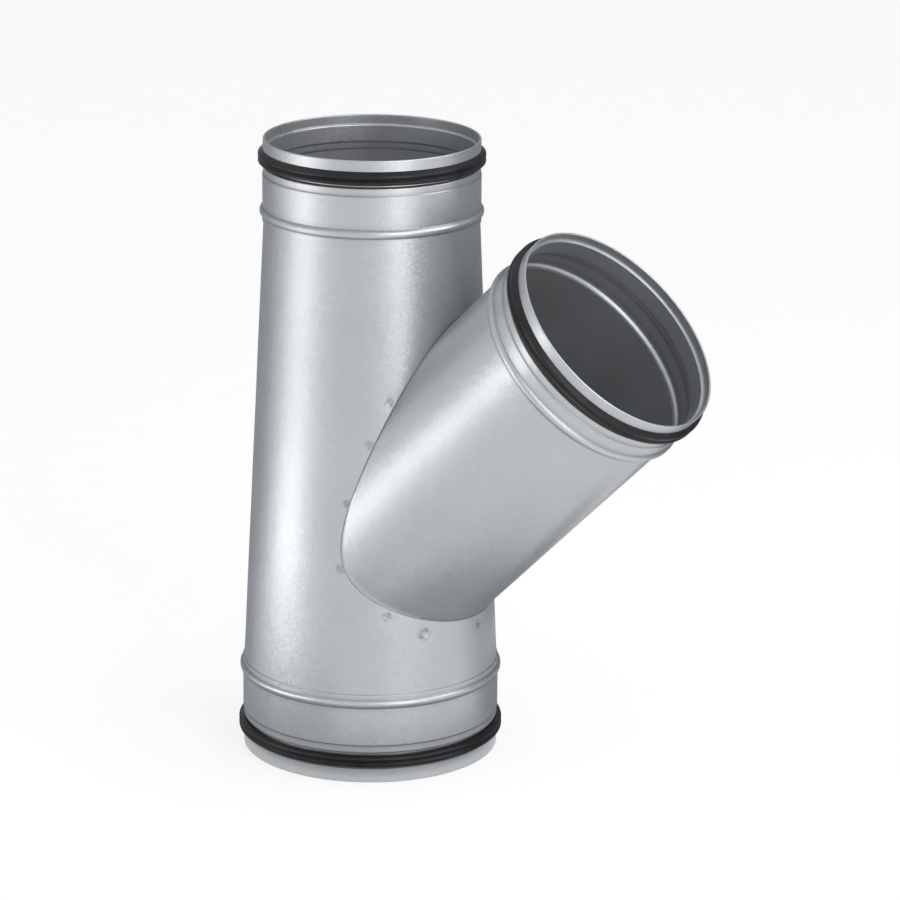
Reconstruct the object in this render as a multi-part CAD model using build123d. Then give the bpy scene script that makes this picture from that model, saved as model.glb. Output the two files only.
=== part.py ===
from build123d import *

import math
import os
from typing import NamedTuple

# Reducing 45 degree lateral wye for round ventilation duct, in thin galvanised sheet.
#
# The run stands along +Z with its wide mouth down. Its body is one rolled, tapering sheet. The
# branch is a round tube that leaves the run towards +X and up. Its foot is flanged over against
# the inside of the run. Each of the three mouths is a collar: a rolled strip with a hem folded back
# flat, a groove that holds a rubber seal, a raised stop bead, and a short skirt that laps over the
# sheet behind it. The origin is the centre of the lower rim.

# Driving dimensions, in millimetres and degrees
lower_diameter = 180.0       # outside of the run's wide spigot
upper_diameter = 150.0       # outside of the run's narrow spigot
branch_diameter = 160.0      # outside of the branch's spigot
run_length = 436.0           # from the lower rim to the upper rim
branch_angle = 45.0          # between the run's axis and the branch's axis
crossing_height = 134.0      # height at which the two axes cross
branch_length = 277.0        # from the crossing to the branch's rim
sheet = 0.7                  # thickness of every sheet

# How far each spigot enters its duct: from the rim to the crest of the stop bead
lower_insertion = 57.5
upper_insertion = 50.5
branch_insertion = 36.0

# Width of each folded hem
lower_hem = 10.0
upper_hem = 7.5
branch_hem = 7.0

# The section that the three collars share
hem_inset = 0.4              # hem's outside below the spigot's
groove_width = 12.0          # from the hem's free edge to the far end of the groove
groove_depth = 2.9           # groove's floor below the spigot's outside
groove_slope = 0.9           # length of the slope at the groove's far end
bead_width = 6.0
bead_crest = 2.4             # width of the bead's crest
bead_height = 2.0
skirt_length = 3.5           # from the bead's inner crease to the lapped edge

# The seals
seal_width = 9.7             # the rest of the groove stays open behind the second lip
lip_height = 3.0             # above the spigot's outside
lip_crest = 1.8              # width of each lip's blunt crest
first_lip = 3.3              # from the hem to the middle of the first lip's crest
second_lip = 7.9             # from the hem to the middle of the second lip's crest
valley_depth = 1.5           # between the two lips

# Joints between the pieces
lap_gap = 0.1                # between a skirt and the sheet inside it
hole_gap = 0.3               # around the branch tube where it comes through the run
seal_gap = 0.05              # between a seal and its groove
edge_gap = 0.4               # from a bead's crease to the end of the sheet inside the skirt
flange_width = 16.0          # of the branch's foot, along the inside of the run
flange_side_share = 0.3      # share of that width by which the flange passes the tube at its sides

# The rolled sheets' lap seams
seam_width = 7.0
seam_end_gap = 1.5


class Spigot(NamedTuple):
    """One mouth: its outside radius, insertion length and hem, and how its skirt opens."""

    radius: float
    insertion: float
    hem: float
    flare: float


def bead_crease(spigot):
    """The crease where the stop bead ends and the skirt begins, from the rim."""
    return spigot.insertion + bead_width / 2


def spigot_bore(spigot):
    """Inside radius of the spigot's plain cylinder."""
    return spigot.radius - sheet


# Ends of the tapering body, just short of the stop beads
body_bottom = lower_insertion + bead_width / 2 + edge_gap
body_top = run_length - upper_insertion - bead_width / 2 - edge_gap
body_bottom_radius = lower_diameter / 2 - sheet - lap_gap
body_top_radius = upper_diameter / 2 - sheet - lap_gap
taper = (body_bottom_radius - body_top_radius) / (body_top - body_bottom)

lower_spigot = Spigot(lower_diameter / 2, lower_insertion, lower_hem, -taper)
upper_spigot = Spigot(upper_diameter / 2, upper_insertion, upper_hem, taper)
branch_spigot = Spigot(branch_diameter / 2, branch_insertion, branch_hem, 0.0)
tube_radius = spigot_bore(branch_spigot) - lap_gap

# Frames of the three mouths: origin at the rim's centre, local +Z into the fitting
slant = math.radians(branch_angle)
branch_axis = Vector(math.sin(slant), 0, math.cos(slant))
across_branch = Vector(math.cos(slant), 0, -math.sin(slant))
crossing = Vector(0, 0, crossing_height)
branch_frame = Plane(origin=crossing, x_dir=across_branch, z_dir=branch_axis)
lower_mouth = Plane.XY
upper_mouth = Plane(origin=(0, 0, run_length), x_dir=(1, 0, 0), z_dir=(0, 0, -1))
branch_mouth = Plane(origin=crossing + branch_axis * branch_length, x_dir=across_branch, z_dir=-branch_axis)


def turned(section, angle=360.0):
    """Revolve a section, drawn with x outwards and y inwards from the rim, about the local Z axis."""
    return revolve(Plane.XZ * section, Axis.Z, angle)


def collar(spigot):
    """Rolled strip with a hem pressed flat, seal groove, stop bead and lapped skirt."""
    hem_inside = spigot.radius - hem_inset - sheet
    hem_bore = hem_inside - sheet
    floor_bore = spigot.radius - groove_depth - sheet
    bore = spigot_bore(spigot)
    groove_end = spigot.hem + groove_width
    bead_end = bead_crease(spigot)
    airway_side = Polyline(
        (hem_bore, 0),
        (hem_bore, spigot.hem - sheet),
        (floor_bore, spigot.hem - sheet),
        (floor_bore, groove_end - groove_slope),
        (bore, groove_end),
        (bore, bead_end - bead_width),
        (bore + bead_height, spigot.insertion - bead_crest / 2),
        (bore + bead_height, spigot.insertion + bead_crest / 2),
        (bore, bead_end),
        (bore + spigot.flare * skirt_length, bead_end + skirt_length),
    )
    strip = offset(airway_side, amount=sheet, kind=Kind.INTERSECTION, side=Side.RIGHT)
    hem = Pos(hem_inside, 0) * Rectangle(sheet, spigot.hem, align=Align.MIN)
    return turned(make_face(strip.edges()) + hem)


def seal(spigot):
    """Rubber ring: a base that fills the groove behind the hem, and two blunt lips."""
    start = spigot.hem + seal_gap
    end = spigot.hem + seal_width
    floor = spigot.radius - groove_depth + seal_gap
    top = spigot.radius - hem_inset
    crest = spigot.radius + lip_height
    section = Polyline(
        (top, start),
        (crest, spigot.hem + first_lip - lip_crest / 2),
        (crest, spigot.hem + first_lip + lip_crest / 2),
        (crest - valley_depth, spigot.hem + (first_lip + second_lip) / 2),
        (crest, spigot.hem + second_lip - lip_crest / 2),
        (crest, spigot.hem + second_lip + lip_crest / 2),
        (top, end),
        (floor, end),
        (floor, start),
        close=True,
    )
    return turned(make_face(section))


def body_radius(height):
    """Outside radius of the tapering body at a height."""
    return body_bottom_radius - taper * (height - body_bottom)


def body_layer(outset, thickness, bottom, top, angle=360.0):
    """A layer of the taper, from outset beyond the body's outside inwards by thickness."""
    outer_bottom = body_radius(bottom) + outset
    outer_top = body_radius(top) + outset
    section = make_face(
        Polyline(
            (outer_bottom, bottom),
            (outer_top, top),
            (outer_top - thickness, top),
            (outer_bottom - thickness, bottom),
            close=True,
        )
    )
    return turned(section, angle)


def body_core(outset):
    """Everything inside the taper, grown by outset."""
    height = body_top - body_bottom
    cone = Cone(body_radius(body_bottom) + outset, body_radius(body_top) + outset, height)
    return Pos(0, 0, body_bottom + height / 2) * cone


def branch_cylinder(radius):
    """A solid along the branch's axis, from the crossing to the rim."""
    return branch_frame * extrude(Circle(radius), branch_length)


def run_body():
    """The run's tapering sheet with its lap seam and the branch's hole."""
    shell = body_layer(0, sheet, body_bottom, body_top)
    seam_angle = math.degrees(seam_width / body_bottom_radius)
    seam_bottom = bead_crease(lower_spigot) + skirt_length + seam_end_gap
    seam_top = run_length - bead_crease(upper_spigot) - skirt_length - seam_end_gap
    seam = body_layer(sheet, sheet, seam_bottom, seam_top, seam_angle)
    return shell + seam.rotate(Axis.Z, 180 - seam_angle / 2) - branch_cylinder(tube_radius + hole_gap)


def branch_tube():
    """The branch's rolled sheet, its lap seam, and the flange of its foot inside the run."""
    length = branch_length - bead_crease(branch_spigot) - edge_gap
    seam_angle = math.degrees(seam_width / tube_radius)
    seam_length = length + edge_gap - skirt_length - seam_end_gap
    seam = turned(Pos(tube_radius, 0) * Rectangle(sheet, seam_length, align=Align.MIN), seam_angle)
    seam_outside = branch_frame * seam.rotate(Axis.Z, 90 - seam_angle / 2) - body_core(seam_end_gap)
    foot = branch_frame * extrude(Circle(tube_radius), length) - body_core(-2 * sheet - lap_gap)
    reach_across = tube_radius + flange_width * math.sin(slant)
    reach_aside = tube_radius + flange_width * flange_side_share
    flange = body_layer(-sheet - lap_gap, sheet, body_bottom, body_top) & (
        branch_frame * extrude(Ellipse(reach_across, reach_aside), branch_length)
    )
    return foot + flange + seam_outside - branch_cylinder(tube_radius - sheet)


def write(name, shape):
    """Write one piece to its own STEP file."""
    shape.label = name
    export_step(shape, os.path.join("parts", name + ".step"))


def main():
    os.makedirs("parts", exist_ok=True)
    write("run_body", run_body())
    write("branch_tube", branch_tube())
    for name, spigot, mouth in (
        ("lower", lower_spigot, lower_mouth),
        ("upper", upper_spigot, upper_mouth),
        ("branch", branch_spigot, branch_mouth),
    ):
        write(name + "_collar", mouth * collar(spigot))
        write(name + "_seal", mouth * seal(spigot))


main()
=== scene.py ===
import math
from typing import NamedTuple

import bpy
from mathutils import Matrix, Vector, noise


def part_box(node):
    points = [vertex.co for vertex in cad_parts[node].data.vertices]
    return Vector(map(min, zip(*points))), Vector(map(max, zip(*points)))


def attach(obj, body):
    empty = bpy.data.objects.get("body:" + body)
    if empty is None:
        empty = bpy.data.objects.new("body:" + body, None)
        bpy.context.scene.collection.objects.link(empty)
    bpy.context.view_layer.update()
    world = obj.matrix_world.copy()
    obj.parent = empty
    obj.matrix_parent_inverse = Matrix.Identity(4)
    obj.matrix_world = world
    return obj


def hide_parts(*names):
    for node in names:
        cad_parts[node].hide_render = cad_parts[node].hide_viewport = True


# Looks of the lateral wye: every sheet and seal is rebuilt from the part's sizes with its true bends,
# and finished as satin galvanised steel or black rubber. The part's lengths are in millimetres until
# a mesh is made. The materials' and the studio's are in metres.

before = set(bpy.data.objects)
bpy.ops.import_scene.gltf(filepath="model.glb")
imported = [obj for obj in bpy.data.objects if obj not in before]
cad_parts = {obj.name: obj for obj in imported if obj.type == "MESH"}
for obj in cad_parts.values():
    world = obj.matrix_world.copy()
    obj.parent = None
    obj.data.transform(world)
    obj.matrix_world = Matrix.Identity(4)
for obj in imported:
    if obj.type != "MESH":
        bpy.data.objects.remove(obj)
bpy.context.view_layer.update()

METRES = 0.001               # in a millimetre


def size_of(node):
    """A CAD node's size along X, Y and Z, in millimetres."""
    low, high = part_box(node)
    return (high - low) / METRES


# Sheet and section
sheet = 0.7
hem_inset = 0.4              # hem's outside below the spigot's
groove_width = 12.0
groove_depth = 2.9
groove_slope = 0.9
land_inset = 0.5             # narrow land behind the groove, below the spigot's outside
land_width = 4.8
step_run = 0.6
bead_width = 6.0
bead_crest = 2.4
bead_height = 2.0
skirt_length = 3.5
lap_gap = 0.1
edge_gap = 0.4
seal_gap = 0.05
bend = 0.6                   # bend radius at the middle of the sheet
bead_round = 2.5             # the same at the bead's crest
bead_foot = 1.0              # the same where the bead leaves the cylinder

lower_hem = 10.0
upper_hem = 7.5
branch_hem = 7.0

# Seals
seal_width = 9.7
lip_height = 3.0
lip_crest = 1.8
lip_round = 1.5
first_lip = 3.3
second_lip = 7.9
valley_depth = 1.5
valley_round = 0.4
seal_edge_round = 0.3
seal_joint_gap = 0.15
lower_seal_joint = -62.0     # degrees round the mouth
upper_seal_joint = 62.0
branch_seal_joint = 200.0

# Run and branch
branch_angle = 45.0
crossing_height = 134.0
branch_length = 277.0
branch_insertion = 36.0
hole_gap = 0.75              # around the branch tube where it comes through the run
flange_width = 16.0          # of the branch's foot, along the inside of the run
flange_side_share = 0.3      # share of that width by which the flange passes the tube at its sides
seam_width = 7.0
seam_end_gap = 1.5

# Spot welds through the flange, listed one by one: angle round the branch in degrees, distance out along
# the flange, and radius
welds = (
    (2.0, 8.0, 2.8),
    (34.0, 11.0, 3.2),
    (55.0, 8.0, 2.8),
    (85.0, 4.5, 2.6),
    (108.0, 5.0, 2.8),
    (123.0, 7.0, 2.8),
    (135.0, 9.0, 3.0),
    (226.5, 9.0, 3.0),
    (237.5, 7.0, 2.8),
    (252.5, 5.0, 2.6),
    (274.0, 4.5, 2.8),
    (306.0, 7.5, 3.0),
    (326.0, 12.0, 4.2),
)
weld_share = 0.15            # depth of each dimple, of its radius
pucker_reach = 3.2           # times the radius: the sheet round a weld is drawn in slightly
pucker_share = 0.06          # depth of that, of the radius

# Dull zinc at each weld, a stain and a patchy ring: distances are shares of the weld's radius
stain_reach = 1.4
stain_mark = 0.4
ring_distance = 0.75
ring_reach = 0.7
ring_mark = 0.8
ring_mean = 0.5              # how whole the ring is, before its patches
ring_patch = 1.6             # length of a patch

# Lapped end of the upper collar's strip, which shows inside its hem
hem_joint = 182.0            # degrees round the mouth
hem_joint_width = 13.0
hem_joint_slant = 3.0        # how far it leans over its height
hem_joint_lift = 0.45        # how far it stands into the mouth

# Painted shade: the zinc is darkened beside the collars' creases
painted_crease_shade = 0.5
crease_reach = 1.3

# Slight unevenness of hand-worked sheet
ripple_length = 55.0
ripple_height = 0.12
ripple_fade = 14.0           # the sheet lies true this close to its collars

# Mesh density
ring_columns = 240
hole_columns = 560
body_rows = 70
row_growth = 1.8             # how much the body's rows spread out away from the hole
tube_rows = 44
flange_rows = 8
strip_columns = 8
body_seam_rows = 40
tube_seam_rows = 24
hem_joint_rows = 3
bend_steps = 5
span_length = 4.0            # longest plain span of a section
edge_span = 0.4              # span beside each bend, which keeps the shading of the flats true
least_mitre = 0.5            # keeps the corners of a sheet's two sides near its middle line
sharp_angle = 38.0           # degrees from which an edge is shaded as sharp
tiny = 1e-6                  # lengths below this count as none
back_width = 0.01            # the body's two edges meet this close to the middle of its back


class Mouth(NamedTuple):
    """One spigot: its radius, insertion and hem, how its skirt opens, its seal's joint and its place."""

    radius: float
    insertion: float
    hem: float
    flare: float
    seal_joint: float
    place: Matrix


def placed(origin, x_axis, inward):
    """A frame with its origin at a rim's centre and its third axis into the fitting."""
    y_axis = inward.cross(x_axis)
    turn = Matrix((x_axis, y_axis, inward)).transposed().to_4x4()
    return Matrix.Translation(origin) @ turn


def spigot_radius(node, axis):
    """Outside radius of a collar's cylinder, from its box."""
    return size_of(node)[axis] / 2 - bead_height


lower_radius = spigot_radius("lower_collar", 0)
upper_radius = spigot_radius("upper_collar", 0)
branch_radius = spigot_radius("branch_collar", 1)
run_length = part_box("upper_collar")[1].z / METRES
lower_insertion = size_of("lower_collar").z - bead_width / 2 - skirt_length
upper_insertion = size_of("upper_collar").z - bead_width / 2 - skirt_length

body_bottom = lower_insertion + bead_width / 2 + edge_gap
body_top = run_length - upper_insertion - bead_width / 2 - edge_gap
body_bottom_radius = lower_radius - sheet - lap_gap
body_top_radius = upper_radius - sheet - lap_gap
taper = (body_bottom_radius - body_top_radius) / (body_top - body_bottom)
tube_radius = branch_radius - sheet - lap_gap
tube_length = branch_length - branch_insertion - bead_width / 2 - edge_gap

slant = math.radians(branch_angle)
branch_axis = Vector((math.sin(slant), 0, math.cos(slant)))
across_branch = Vector((math.cos(slant), 0, -math.sin(slant)))
crossing = Vector((0, 0, crossing_height))
x_direction = Vector((1, 0, 0))
up = Vector((0, 0, 1))

lower = Mouth(
    radius=lower_radius,
    insertion=lower_insertion,
    hem=lower_hem,
    flare=-taper,
    seal_joint=lower_seal_joint,
    place=placed(Vector((0, 0, 0)), x_direction, up),
)
upper = Mouth(
    radius=upper_radius,
    insertion=upper_insertion,
    hem=upper_hem,
    flare=taper,
    seal_joint=upper_seal_joint,
    place=placed(Vector((0, 0, run_length)), x_direction, -up),
)
branch = Mouth(
    radius=branch_radius,
    insertion=branch_insertion,
    hem=branch_hem,
    flare=0.0,
    seal_joint=branch_seal_joint,
    place=placed(crossing + branch_axis * branch_length, across_branch, -branch_axis),
)


# Sections


def bent(corners):
    """A line through corners given as (x, y, bend radius), with an arc at each one inside it."""
    points = [Vector(corners[0][:2])]
    for before, corner, after in zip(corners, corners[1:], corners[2:]):
        here = Vector(corner[:2])
        back = (Vector(before[:2]) - here).normalized()
        ahead = (Vector(after[:2]) - here).normalized()
        opening = back.angle(ahead)
        reach = corner[2] / math.tan(opening / 2)
        centre = here + (back + ahead).normalized() * (corner[2] / math.sin(opening / 2))
        start = here + back * reach - centre
        sweep = start.angle_signed(here + ahead * reach - centre)
        for step in range(bend_steps + 1):
            points.append(centre + turned(start, sweep * step / bend_steps))
    points.append(Vector(corners[-1][:2]))
    return points


def turned(vector, angle):
    """A plane vector turned clockwise, as angle_signed counts."""
    cosine = math.cos(angle)
    sine = math.sin(angle)
    return Vector((vector.x * cosine + vector.y * sine, vector.y * cosine - vector.x * sine))


def beside(line, distance):
    """The line moved sideways, to its right, by a distance at every point."""
    moved = []
    for index, point in enumerate(line):
        before = line[max(index - 1, 0)]
        after = line[min(index + 1, len(line) - 1)]
        sides = []
        for start, end in ((before, point), (point, after)):
            run = end - start
            if run.length > tiny:
                sides.append(Vector((run.y, -run.x)).normalized())
        side = (sides[0] + sides[-1]).normalized()
        moved.append(point + side * (distance / max(side.dot(sides[0]), least_mitre)))
    return moved


def spanned(outline):
    """A closed outline with its long straight spans divided, finely beside their ends."""
    points = []
    for start, end in zip(outline, outline[1:] + outline[:1]):
        run = end - start
        if run.length < tiny:
            continue
        points.append(start)
        if run.length > 3 * edge_span:
            ends = edge_span / run.length
            spans = max(1, math.ceil(run.length / span_length))
            points += [start + run * (ends + (1 - 2 * ends) * k / spans) for k in range(spans + 1)]
    return points


def collar_section(mouth):
    """Hem, groove, land, step, bead and skirt as one closed outline."""
    half = sheet / 2
    hem_outside = mouth.radius - hem_inset
    hem_middle = hem_outside - 1.5 * sheet
    floor = mouth.radius - groove_depth - half
    land = mouth.radius - land_inset - half
    wall = mouth.radius - half
    groove_end = mouth.hem + groove_width
    step = groove_end + land_width
    bead_start = mouth.insertion - bead_width / 2
    bead_end = mouth.insertion + bead_width / 2
    middle = bent(
        [
            (hem_middle, sheet, 0),
            (hem_middle, mouth.hem - half, bend),
            (floor, mouth.hem - half, bend),
            (floor, groove_end - groove_slope, bend),
            (land, groove_end, bend),
            (land, step, bend),
            (wall, step + step_run, bend),
            (wall, bead_start, bead_foot),
            (wall + bead_height, mouth.insertion - bead_crest / 2, bead_round),
            (wall + bead_height, mouth.insertion + bead_crest / 2, bead_round),
            (wall, bead_end, bead_foot),
            (wall + mouth.flare * skirt_length, bead_end + skirt_length, 0),
        ]
    )
    fold = Vector((hem_outside - sheet, sheet))
    rim = [
        fold + Vector((math.cos(angle), -math.sin(angle))) * sheet
        for angle in (math.pi * k / (2 * bend_steps) for k in range(2 * bend_steps + 1))
    ]
    hem_end = [Vector((hem_outside - sheet, mouth.hem)), Vector((hem_outside, mouth.hem))]
    airway_side = beside(middle, -half)
    outer_side = beside(middle, half)
    return spanned(hem_end + rim + airway_side[1:] + outer_side[:0:-1])


def seal_section(mouth):
    """The seal's base in the groove and its two round lips, as one closed outline."""
    start = mouth.hem + seal_gap
    end = mouth.hem + seal_width
    floor = mouth.radius - groove_depth + seal_gap
    top = mouth.radius - hem_inset
    crest = mouth.radius + lip_height
    valley = mouth.hem + (first_lip + second_lip) / 2
    line = bent(
        [
            (floor, start, 0),
            (top, start, seal_edge_round),
            (crest, mouth.hem + first_lip - lip_crest / 2, lip_round),
            (crest, mouth.hem + first_lip + lip_crest / 2, lip_round / 2),
            (crest - valley_depth, valley, valley_round),
            (crest, mouth.hem + second_lip - lip_crest / 2, lip_round / 2),
            (crest, mouth.hem + second_lip + lip_crest / 2, lip_round),
            (top, end, seal_edge_round),
            (floor, end, 0),
        ]
    )
    return spanned(line)


# Meshes


def quads(rows, columns, close_rows=False, close_columns=True, first=0):
    """Faces of a grid of points, row by row, whose first point has this number."""
    faces = []
    for row in range(rows if close_rows else rows - 1):
        here = first + row * columns
        above = first + (row + 1) % rows * columns
        for column in range(columns if close_columns else columns - 1):
            right = (column + 1) % columns
            faces.append((here + column, here + right, above + right, above + column))
    return faces


def make_piece(name, node, material, points, faces):
    """A smooth-shaded piece that stands for a CAD node."""
    mesh = bpy.data.meshes.new(name)
    mesh.from_pydata([tuple(point * METRES) for point in points], [], faces)
    mesh.validate()
    mesh.shade_smooth()
    mesh.set_sharp_from_angle(angle=math.radians(sharp_angle))
    mesh.materials.append(material)
    piece = bpy.data.objects.new(name, mesh)
    bpy.context.scene.collection.objects.link(piece)
    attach(piece, "root")
    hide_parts(node)
    return piece


def tarnish_and_crease_shade(piece, marks):
    """Store how dark the zinc is at each of the first points of a piece: weld stains, and painted shade
    beside creases.
    """
    shade = piece.data.attributes.new("tarnish_and_crease_shade", "FLOAT", "POINT")
    for value, mark in zip(shade.data, marks):
        value.value = mark


def crease_shade(mouth, along):
    """How much painted shade darkens the zinc at a distance from the rim: more beside each crease of the
    collar.
    """
    creases = (
        mouth.hem + groove_width + land_width,
        mouth.insertion - bead_width / 2,
        mouth.insertion + bead_width / 2,
    )
    return painted_crease_shade * max(smooth_fall(abs(along - crease), crease_reach) for crease in creases)


def around(section, place, angles):
    """Points of a section at each of these angles round a mouth's axis."""
    points = []
    for angle in angles:
        x = math.cos(angle)
        y = math.sin(angle)
        points += [place @ Vector((p.x * x, p.x * y, p.y)) for p in section]
    return points


def lathe(section, place):
    """Points and faces of a section turned all the way round a mouth's axis."""
    angles = [2 * math.pi * column / ring_columns for column in range(ring_columns)]
    return around(section, place, angles), quads(ring_columns, len(section), close_rows=True)


def open_lathe(section, place, joint, gap):
    """The same with a narrow gap at one angle in degrees, and a face on each side of it."""
    half_gap = gap / 2 / section[0].x
    start = math.radians(joint) + half_gap
    sweep = 2 * math.pi - 2 * half_gap
    angles = [start + sweep * column / ring_columns for column in range(ring_columns + 1)]
    count = len(section)
    faces = quads(ring_columns + 1, count) + end_faces(count, 0, ring_columns * count)
    return around(section, place, angles), faces


def end_faces(count, first, last):
    """The two end faces of a solid made of loops of points, from the numbers their loops start at."""
    return [tuple(range(first + count - 1, first - 1, -1)), tuple(range(last, last + count))]


def body_radius(height):
    """Outside radius of the tapering body at a height."""
    return body_bottom_radius - taper * (height - body_bottom)


def point_on_body(across, aside, depth):
    """Where a line along the branch, at these offsets from its axis, leaves the taper under depth."""
    start = crossing + across_branch * across + Vector((0, aside, 0))
    reach = body_radius(start.z) - depth
    a = branch_axis.x**2 - (taper * branch_axis.z) ** 2
    b = start.x * branch_axis.x + reach * taper * branch_axis.z
    c = start.x**2 + start.y**2 - reach**2
    return start + branch_axis * ((math.sqrt(b * b - a * c) - b) / a)


def oval(reach_across, reach_aside, angle):
    """Offsets from the branch's axis of one point of an oval around it."""
    return reach_across * math.cos(angle), reach_aside * math.sin(angle)


def foot_reach(width):
    """Half axes of the oval that lies this far outside the tube's foot."""
    return tube_radius + width * math.sin(slant), tube_radius + width * flange_side_share


def weld_spots():
    """Middle and radius of each spot weld, on the outside of the body."""
    return [
        (point_on_body(*oval(*foot_reach(offset), math.radians(angle)), 0), radius)
        for angle, offset, radius in welds
    ]


def weld_at(point, spots):
    """How deep the sheet is pressed in at a point, and how marked it is, by the welds near it."""
    depth = 0.0
    mark = 0.0
    for spot, radius in spots:
        distance = (point - spot).length
        if distance < pucker_reach * radius:
            depth += radius * weld_share * smooth_fall(distance, radius)
            depth += radius * pucker_share * smooth_fall(distance, pucker_reach * radius)
            stain = stain_mark * smooth_fall(distance, stain_reach * radius)
            ring = smooth_fall(abs(distance - ring_distance * radius), ring_reach * radius)
            patchy = ring_mean + noise.noise(point / ring_patch)
            mark = max(mark, stain, ring_mark * ring * patchy)
    return depth, mark


def smooth_fall(distance, reach):
    """1 at no distance, falling smoothly to 0 at the reach."""
    share = min(distance / reach, 1.0)
    return (1 - share * share) ** 2


def ripple(point, from_edge):
    """Slight unevenness of the sheet, none at its lapped edges."""
    fade = min(max(from_edge, 0.0) / ripple_fade, 1.0)
    return ripple_height * fade * noise.noise(point / ripple_length)


def body_grid():
    """Outside of the body as rows from the hole's edge outwards: angles and heights.

    The rows are worked out on the body laid flat, and end at its four edges.
    """
    flat_radius = body_radius(crossing_height)
    edge = []
    for column in range(hole_columns):
        angle = 2 * math.pi * column / hole_columns
        point = point_on_body(*oval(tube_radius + hole_gap, tube_radius + hole_gap, angle), 0)
        edge.append(Vector((math.atan2(point.y, point.x) * flat_radius, point.z)))
    centre = Vector((0, point_on_body(0, 0, 0).z))
    side = math.pi * flat_radius
    border = []
    for point in edge:
        way = point - centre
        limits = [side / abs(way.x)] if abs(way.x) > tiny else []
        if way.y > tiny:
            limits.append((body_top - centre.y) / way.y)
        if way.y < -tiny:
            limits.append((body_bottom - centre.y) / way.y)
        border.append(centre + way * min(limits))
    for corner in ((-side, body_bottom), (side, body_bottom), (-side, body_top), (side, body_top)):
        nearest = min(range(hole_columns), key=lambda k: (border[k] - Vector(corner)).length)
        border[nearest] = Vector(corner)
    rows = []
    for row in range(body_rows + 1):
        share = (row / body_rows) ** row_growth
        rows.append([start.lerp(end, share) for start, end in zip(edge, border)])
    return [[(p.x / flat_radius, p.y) for p in row] for row in rows]


def body_mesh():
    """The body's sheet with its hole and dimples: points, faces and how marked each outer point is."""
    spots = weld_spots()
    outer = []
    inner = []
    marks = []
    for row in body_grid():
        for angle, height in row:
            outwards = Vector((math.cos(angle), math.sin(angle), 0))
            radius = body_radius(height)
            point = outwards * radius + up * height
            depth, mark = weld_at(point, spots)
            offset = ripple(point, min(height - body_bottom, body_top - height)) - depth
            marks.append(mark)
            outer.append(outwards * (radius + offset) + up * height)
            inner.append(outwards * (radius + offset - sheet) + up * height)
    row_count = body_rows + 1
    faces = quads(row_count, hole_columns)
    count = len(outer)
    faces += [tuple(reversed([k + count for k in face])) for face in faces]
    last = (row_count - 1) * hole_columns
    for column in range(hole_columns):
        right = (column + 1) % hole_columns
        faces.append((right, column, column + count, right + count))
        a = last + column
        b = last + right
        at_back = outer[a].x < 0 and max(abs(outer[a].y), abs(outer[b].y)) < back_width
        if not at_back:
            faces.append((a, b, b + count, a + count))
    return outer + inner, faces, marks


def strip(place_point, row_count, first):
    """A closed flat strip, from place_point(share across, share along, whether on its outer face)."""
    points = []
    for row in range(row_count + 1):
        along = row / row_count
        points += [place_point(k / strip_columns, along, True) for k in range(strip_columns + 1)]
        points += [place_point(k / strip_columns, along, False) for k in range(strip_columns, -1, -1)]
    count = 2 * (strip_columns + 1)
    faces = quads(row_count + 1, count, first=first) + end_faces(count, first, first + row_count * count)
    return points, faces


def body_seam_point(across, along, outer):
    """A point of the run's lap seam, at its back."""
    bottom = lower_insertion + bead_width / 2 + skirt_length + seam_end_gap
    top = run_length - upper_insertion - bead_width / 2 - skirt_length - seam_end_gap
    height = bottom + (top - bottom) * along
    radius = body_radius(height) + (sheet if outer else -sheet / 2)
    angle = math.pi + (across - 0.5) * seam_width / body_radius(height)
    return Vector((math.cos(angle) * radius, math.sin(angle) * radius, height))


def tube_seam_point(across, along, outer):
    """A point of the branch's lap seam, on its +Y side."""
    angle = math.pi / 2 + (across - 0.5) * seam_width / tube_radius
    foot = point_on_body(*oval(tube_radius, tube_radius, angle), -seam_end_gap)
    start = (foot - crossing).dot(branch_axis)
    end = tube_length + edge_gap - skirt_length - seam_end_gap
    radius = tube_radius + (sheet if outer else -sheet / 2)
    return tube_point(angle, radius, start + (end - start) * along)


def hem_joint_point(across, along, outer):
    """A point of the lapped end of the upper collar's strip, inside its hem."""
    bore = upper.radius - hem_inset - 2 * sheet
    radius = bore - (hem_joint_lift if outer else -sheet / 2)
    turn = (0.5 - across) * hem_joint_width / bore + (along - 0.5) * hem_joint_slant / bore
    angle = math.radians(hem_joint) + turn
    height = sheet + (upper.hem - 2 * sheet) * along
    return upper.place @ Vector((math.cos(angle) * radius, math.sin(angle) * radius, height))


def tube_point(angle, radius, along):
    """A point around the branch's axis, at a distance along it from the crossing."""
    around = across_branch * math.cos(angle) + Vector((0, math.sin(angle), 0))
    return crossing + around * radius + branch_axis * along


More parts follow.
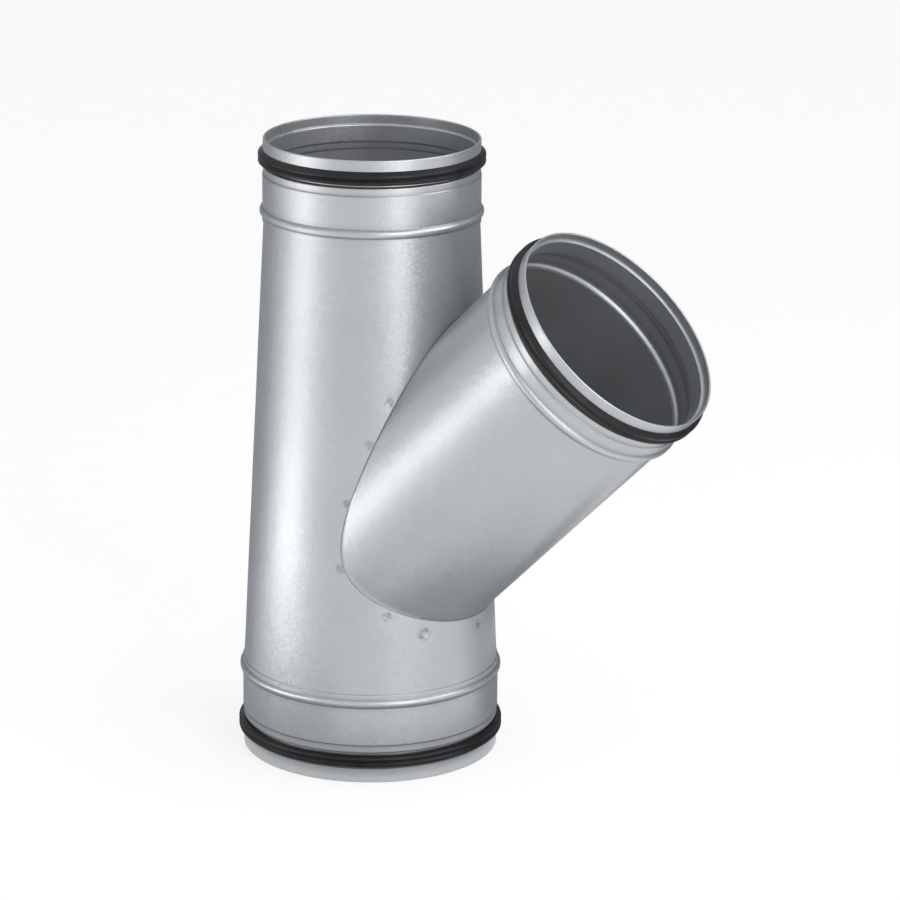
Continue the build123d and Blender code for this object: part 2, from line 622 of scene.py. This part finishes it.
def tube_mesh():
    """The branch's sheet: the flange along the inside of the body, its bend and the tube."""
    under = sheet + lap_gap
    reach = foot_reach(flange_width)
    columns = ring_columns
    outer = []
    inner = []
    for row in range(flange_rows):
        share = row / flange_rows
        for column in range(columns):
            angle = 2 * math.pi * column / columns
            wide = oval(*reach, angle)
            near = oval(tube_radius, tube_radius, angle)
            across = wide[0] + (near[0] - wide[0]) * share
            aside = wide[1] + (near[1] - wide[1]) * share
            point = point_on_body(across, aside, under)
            outwards = Vector((point.x, point.y, 0)).normalized()
            outer.append(point)
            inner.append(point - outwards * sheet)
    for row in range(tube_rows + 1):
        for column in range(columns):
            angle = 2 * math.pi * column / columns
            for points, radius, depth in (
                (outer, tube_radius, under),
                (inner, tube_radius - sheet, under + sheet),
            ):
                foot = point_on_body(*oval(radius, radius, angle), depth)
                start = (foot - crossing).dot(branch_axis)
                along = start + (tube_length - start) * row / tube_rows
                point = tube_point(angle, radius, along)
                lift = ripple(point, min(along - start - 2 * under, tube_length - along))
                points.append(tube_point(angle, radius + lift, along))
    rows = flange_rows + tube_rows + 1
    faces = quads(rows, columns)
    count = len(outer)
    faces += [tuple(reversed([k + count for k in face])) for face in faces]
    last = (rows - 1) * columns
    for column in range(columns):
        right = (column + 1) % columns
        faces.append((right, column, column + count, right + count))
        faces.append((last + column, last + right, last + right + count, last + column + count))
    return outer + inner, faces


def build_pieces(steel, rolled_steel, rubber):
    """Every piece of the fitting, each in place of its CAD node."""
    points, faces, marks = body_mesh()
    seam_points, seam_faces = strip(body_seam_point, body_seam_rows, len(points))
    body = make_piece(
        "Run_Body", "run_body", steel, points + seam_points, faces + seam_faces
    )
    tarnish_and_crease_shade(body, marks)
    points, faces = tube_mesh()
    seam_points, seam_faces = strip(tube_seam_point, tube_seam_rows, len(points))
    make_piece(
        "Branch_Tube", "branch_tube", steel, points + seam_points, faces + seam_faces
    )
    for name, mouth in (("lower", lower), ("upper", upper), ("branch", branch)):
        section = collar_section(mouth)
        points, faces = lathe(section, mouth.place)
        if mouth is upper:
            joint_points, joint_faces = strip(hem_joint_point, hem_joint_rows, len(points))
            points += joint_points
            faces += joint_faces
        piece = make_piece(
            name.title() + "_Collar", name + "_collar", rolled_steel, points, faces
        )
        # On the collars the marks are painted shade beside their creases
        tarnish_and_crease_shade(piece, [crease_shade(mouth, point.y) for point in section] * ring_columns)
        points, faces = open_lathe(seal_section(mouth), mouth.place, mouth.seal_joint, seal_joint_gap)
        make_piece(name.title() + "_Seal", name + "_seal", rubber, points, faces)


# Materials, with their scales in cycles or cells a metre


class Zinc(NamedTuple):
    """How one kind of galvanised sheet looks."""

    name: str
    pale: tuple
    dark: tuple
    roughness: float
    grain_height: float
    grain_tilt: float            # of the surface's normal, at random in each crystal
    spangle_share: float         # of the tone that comes from the spangle, not from the clouds


body_zinc = Zinc(
    name="Galvanised_Sheet",
    pale=(0.48, 0.495, 0.513),
    dark=(0.43, 0.445, 0.463),
    roughness=0.39,
    grain_height=0.00008,
    grain_tilt=0.065,
    spangle_share=0.3,
)
collar_zinc = Zinc(
    name="Galvanised_Collar",
    pale=(0.5, 0.515, 0.533),
    dark=(0.44, 0.455, 0.473),
    roughness=0.38,
    grain_height=0.00007,
    grain_tilt=0.055,
    spangle_share=0.25,
)
zinc_metallic = 0.84
# Dull dark grey of weld stains, also used as painted shade beside the collars' creases
zinc_tarnish_and_shade = (0.16, 0.16, 0.17)
zinc_gloss_spread = 0.07         # of the roughness, to each side
zinc_gloss_spangle = 0.35        # share of the gloss that comes from the spangle
spangle_scale = 520.0
crystal_scale = 900.0
dent_height = 0.0006

rubber_dark = (0.005, 0.005, 0.006)
rubber_bloom = (0.011, 0.011, 0.013)
rubber_glossy = 0.26
rubber_dull = 0.42
rubber_grain_height = 0.0001

paper_shade = 0.97               # of the paper's tone, in its darker fibres


class Shader:
    """A new material's node tree, with short ways to add and join nodes."""

    def __init__(self, name):
        self.material = bpy.data.materials.new(name)
        self.material.use_nodes = True
        self.tree = self.material.node_tree
        self.surface = self.tree.nodes["Principled BSDF"]

    def node(self, kind, **settings):
        """Add a node, with its settings and its unlinked inputs by name."""
        node = self.tree.nodes.new("ShaderNode" + kind)
        for key, value in settings.items():
            if hasattr(node, key):
                setattr(node, key, value)
            else:
                node.inputs[key.replace("_", " ").title()].default_value = value
        return node

    def join(self, output, target):
        """Join an output to an input."""
        self.tree.links.new(output, target)

    def noise(self, scale, detail=2.0, roughness=0.5):
        """Fractal noise in object space."""
        texture = self.node("TexNoise", scale=scale, detail=detail, roughness=roughness)
        self.join(self.node("TexCoord").outputs["Object"], texture.inputs["Vector"])
        return texture.outputs["Fac"]

    def cells(self, scale):
        """Irregular cells in object space, each of its own random colour."""
        texture = self.node("TexVoronoi", scale=scale)
        self.join(self.node("TexCoord").outputs["Object"], texture.inputs["Vector"])
        return texture.outputs["Color"]

    def ranged(self, value, low, high):
        """A value from 0 to 1 as one from low to high."""
        ranges = self.node("MapRange", to_min=low, to_max=high)
        self.join(value, ranges.inputs["Value"])
        return ranges.outputs["Result"]

    def coloured(self, value, stops):
        """A colour ramp over a value, from two stops of (place, colour)."""
        ramp = self.node("ValToRGB")
        for element, (place, colour) in zip(ramp.color_ramp.elements, stops):
            element.position = place
            element.color = (*colour, 1)
        self.join(value, ramp.inputs["Fac"])
        return ramp.outputs["Color"]

    def bumped(self, height, distance, strength, below=None):
        """A bump of a height in metres, over the one below it."""
        bump = self.node("Bump", strength=strength, distance=distance)
        self.join(height, bump.inputs["Height"])
        if below is not None:
            self.join(below, bump.inputs["Normal"])
        return bump.outputs["Normal"]

    def mixed(self, first, second, share):
        """Two values mixed by a fixed share."""
        mix = self.node("Mix", factor=share)
        self.join(first, mix.inputs["A"])
        self.join(second, mix.inputs["B"])
        return mix.outputs["Result"]

    def tinted(self, colour, tint, share):
        """A colour that turns into a plain tint as a value goes from 0 to 1."""
        mix = self.node("Mix", data_type="RGBA")
        sockets = {socket.identifier: socket for socket in (*mix.inputs, *mix.outputs)}
        self.join(share, sockets["Factor_Float"])
        self.join(colour, sockets["A_Color"])
        sockets["B_Color"].default_value = (*tint, 1)
        return sockets["Result_Color"]

    def facets(self, scale, tilt):
        """The surface's normal, tilted a little at random in each cell of the zinc's crystals."""
        centred = self.node("VectorMath", operation="SUBTRACT")
        self.join(self.cells(scale), centred.inputs[0])
        centred.inputs[1].default_value = (0.5, 0.5, 0.5)
        scaled = self.node("VectorMath", operation="SCALE", scale=tilt)
        self.join(centred.outputs["Vector"], scaled.inputs[0])
        tilted = self.node("VectorMath", operation="ADD")
        self.join(self.node("NewGeometry").outputs["Normal"], tilted.inputs[0])
        self.join(scaled.outputs["Vector"], tilted.inputs[1])
        normal = self.node("VectorMath", operation="NORMALIZE")
        self.join(tilted.outputs["Vector"], normal.inputs[0])
        return normal.outputs["Vector"]

    def glow(self, seen_share, mirrored_share):
        """Mix in plain white light for camera rays, and less for glossy and transmission rays."""
        path = self.node("LightPath")
        share = self.ranged(path.outputs["Is Camera Ray"], 0.0, seen_share)
        for ray in ("Is Glossy Ray", "Is Transmission Ray"):
            larger = self.node("Math", operation="MAXIMUM")
            self.join(share, larger.inputs[0])
            self.join(self.ranged(path.outputs[ray], 0.0, mirrored_share), larger.inputs[1])
            share = larger.outputs["Value"]
        mix = self.node("MixShader")
        self.join(share, mix.inputs["Fac"])
        self.join(self.surface.outputs["BSDF"], mix.inputs[1])
        self.join(self.node("Emission").outputs["Emission"], mix.inputs[2])
        self.join(mix.outputs["Shader"], self.tree.nodes["Material Output"].inputs["Surface"])


def galvanised(zinc):
    """Zinc-coated steel: faint spangle, fine grain, soft cloudy tone and uneven gloss."""
    shader = Shader(zinc.name)
    surface = shader.surface
    surface.inputs["Metallic"].default_value = zinc_metallic
    spangle = shader.cells(spangle_scale)
    cloud = shader.noise(scale=14.0, detail=4.0)
    tone = shader.mixed(cloud, spangle, zinc.spangle_share)
    clean = shader.coloured(tone, ((0.25, zinc.dark), (0.75, zinc.pale)))
    # The attribute read here darkens the zinc: real weld stains on the run, and painted shade beside the
    # collars' creases
    mark = shader.node("Attribute", attribute_name="tarnish_and_crease_shade").outputs["Fac"]
    shader.join(shader.tinted(clean, zinc_tarnish_and_shade, mark), surface.inputs["Base Color"])

    gloss = shader.mixed(shader.noise(scale=30.0, detail=3.0), spangle, zinc_gloss_spangle)
    least = zinc.roughness - zinc_gloss_spread
    most = zinc.roughness + zinc_gloss_spread
    shader.join(shader.ranged(gloss, least, most), surface.inputs["Roughness"])

    facets = shader.facets(crystal_scale, zinc.grain_tilt)
    fine = shader.noise(crystal_scale, detail=3.0, roughness=0.6)
    grain = shader.bumped(fine, zinc.grain_height, strength=0.6, below=facets)
    dents = shader.bumped(shader.noise(scale=45.0), dent_height, strength=0.25, below=grain)
    shader.join(dents, surface.inputs["Normal"])
    return shader.material


def rubber_material():
    """Moulded black rubber with a dull bloom and a fine grain."""
    shader = Shader("Black_Rubber")
    surface = shader.surface
    surface.inputs["Specular IOR Level"].default_value = 0.3
    bloom = shader.noise(scale=60.0, detail=4.0)
    tone = shader.coloured(bloom, ((0.3, rubber_dark), (0.75, rubber_bloom)))
    shader.join(tone, surface.inputs["Base Color"])
    shader.join(shader.ranged(bloom, rubber_glossy, rubber_dull), surface.inputs["Roughness"])
    grain = shader.bumped(shader.noise(scale=1400.0), rubber_grain_height, strength=0.35)
    shader.join(grain, surface.inputs["Normal"])
    return shader.material


def paper_material(name, tone, glow=None):
    """Matt studio paper, which may glow by one share for the camera and one for what mirrors it."""
    shader = Shader(name)
    surface = shader.surface
    fibre = shader.noise(scale=35.0, detail=3.0)
    shade = tuple(part * paper_shade for part in tone)
    shader.join(shader.coloured(fibre, ((0.2, shade), (0.8, tone))), surface.inputs["Base Color"])
    surface.inputs["Roughness"].default_value = 0.9
    surface.inputs["Specular IOR Level"].default_value = 0.0
    if glow:
        shader.glow(*glow)
    return shader.material


# Studio


class Softbox(NamedTuple):
    """A soft lamp that faces the object: degrees round from the camera, metres and watts."""

    name: str
    azimuth: float
    distance: float
    middle_height: float
    width: float
    height: float
    watts: float


class Flag(NamedTuple):
    """A grey card that lies round part of the object and stands up behind: only reflections see it.

    It reaches from start to end, in degrees round from the camera, and from near to far.
    """

    name: str
    start: float
    end: float
    near_start: float
    near_end: float
    far: float
    height: float
    tone: tuple


camera_azimuth = 31.668          # degrees round from -Y towards +X
camera_height = 16.754           # degrees above the horizon
camera_roll = 0.5
camera_distance = 2.9074
camera_lens = 166.9
camera_target = Vector((0.04675, 0.02884, 0.21365))

softboxes = (
    Softbox("Left_Softbox", -76.0, 1.2, 0.15, 0.6, 0.16, 0.95),
    Softbox("Branch_Softbox", -62.0, 1.2, 0.42, 0.44, 0.26, 1.25),
    Softbox("Low_Softbox", -77.0, 0.42, 0.08, 0.22, 0.13, 0.18),
    Softbox("Right_Softbox", 30.0, 1.5, 0.85, 0.62, 1.7, 8.8),
    Softbox("High_Softbox", 80.0, 1.2, 1.15, 0.9, 0.9, 7.5),
)
lamp_target = Vector((0.0, 0.0, 0.22))
room_strength = 0.85

flags = (
    # The three near cards lie flat on the floor round the base: a painted shadow, darker floor that only
    # reflections see, in place of the object's shadow there
    Flag("Near_Left_Painted_Shadow", -160.0, -25.0, 0.1, 0.1, 0.27, 0.003, (0.33, 0.34, 0.36)),
    Flag("Near_Front_Painted_Shadow", -25.0, 90.0, 0.1, 0.1, 0.17, 0.003, (0.3, 0.31, 0.33)),
    Flag("Near_Right_Painted_Shadow", 90.0, 186.0, 0.1, 0.1, 0.26, 0.003, (0.19, 0.2, 0.22)),
    Flag("Right_Flag", 91.0, 186.0, 0.38, 0.26, 1.1, 1.4, (0.17, 0.187, 0.21)),
    Flag("Left_Flag", -164.0, -114.0, 0.2, 0.2, 1.1, 1.2, (0.25, 0.265, 0.285)),
    Flag("Edge_Flag", -120.0, -72.0, 1.12, 1.12, 1.14, 0.06, (0.3, 0.31, 0.33)),
)
flag_steps = 12
flag_lift = 0.002                # above the floor

floor_radius = 9.0
floor_sides = 96
floor_tone = (0.94, 0.94, 0.94)
floor_glow = (0.75, 0.45)        # shares that the camera and what mirrors the floor see


def direction(azimuth, height):
    """Unit vector from the object towards an azimuth from -Y and a height in degrees."""
    a = math.radians(azimuth)
    e = math.radians(height)
    return Vector((math.sin(a) * math.cos(e), -math.cos(a) * math.cos(e), math.sin(e)))


def add_camera():
    """The photograph's viewpoint."""
    camera = bpy.data.objects.new("Camera", bpy.data.cameras.new("Camera"))
    camera.data.lens = camera_lens
    camera.data.sensor_width = 36.0
    back = direction(camera_azimuth, camera_height)
    roll = Matrix.Rotation(math.radians(camera_roll), 4, "Z").to_quaternion()
    turn = (back.to_track_quat("Z", "Y") @ roll).to_matrix().to_4x4()
    camera.matrix_world = Matrix.Translation(camera_target + back * camera_distance) @ turn
    bpy.context.scene.collection.objects.link(camera)
    bpy.context.scene.camera = camera


def add_softbox(box):
    """One soft lamp."""
    light = bpy.data.lights.new(box.name, "AREA")
    light.shape = "RECTANGLE"
    light.size = box.width
    light.size_y = box.height
    light.energy = box.watts
    lamp = bpy.data.objects.new(box.name, light)
    place = direction(camera_azimuth + box.azimuth, 0) * box.distance + up * box.middle_height
    lamp.location = place
    lamp.rotation_euler = (place - lamp_target).to_track_quat("Z", "Y").to_euler()
    lamp.visible_camera = False
    bpy.context.scene.collection.objects.link(lamp)


def staged(name, points, faces, material):
    """A plain mesh of the studio, which isn't part of the object."""
    mesh = bpy.data.meshes.new(name)
    mesh.from_pydata(points, [], faces)
    mesh.materials.append(material)
    thing = bpy.data.objects.new(name, mesh)
    bpy.context.scene.collection.objects.link(thing)
    return thing


def add_floor():
    """A wide round floor under the object."""
    angles = [2 * math.pi * k / floor_sides for k in range(floor_sides)]
    ring = [(floor_radius * math.cos(angle), floor_radius * math.sin(angle), 0) for angle in angles]
    paper = paper_material("White_Paper", floor_tone, floor_glow)
    staged("Floor", ring, [tuple(range(floor_sides))], paper)


def add_flag(flag):
    """One grey card, of three rows of points: its near edge, its fold and its top edge."""
    points = []
    for step in range(flag_steps + 1):
        share = step / flag_steps
        side = direction(camera_azimuth + flag.start + (flag.end - flag.start) * share, 0)
        near = flag.near_start + (flag.near_end - flag.near_start) * share
        points.append(side * near + up * flag_lift)
        points.append(side * flag.far + up * flag_lift)
        points.append(side * flag.far + up * flag.height)
    faces = quads(flag_steps + 1, 3, close_columns=False)
    card = staged(flag.name, points, faces, paper_material(flag.name + "_Card", flag.tone))
    card.visible_camera = False
    card.visible_diffuse = False
    card.visible_shadow = False


def add_world():
    """An even white room."""
    world = bpy.data.worlds.new("Room")
    world.use_nodes = True
    background = world.node_tree.nodes["Background"]
    background.inputs["Color"].default_value = (1, 1, 1, 1)
    background.inputs["Strength"].default_value = room_strength
    bpy.context.scene.world = world


def main():
    build_pieces(galvanised(body_zinc), galvanised(collar_zinc), rubber_material())
    add_camera()
    add_floor()
    add_world()
    for box in softboxes:
        add_softbox(box)
    for flag in flags:
        add_flag(flag)
    bpy.context.scene.view_settings.view_transform = "Standard"


main()
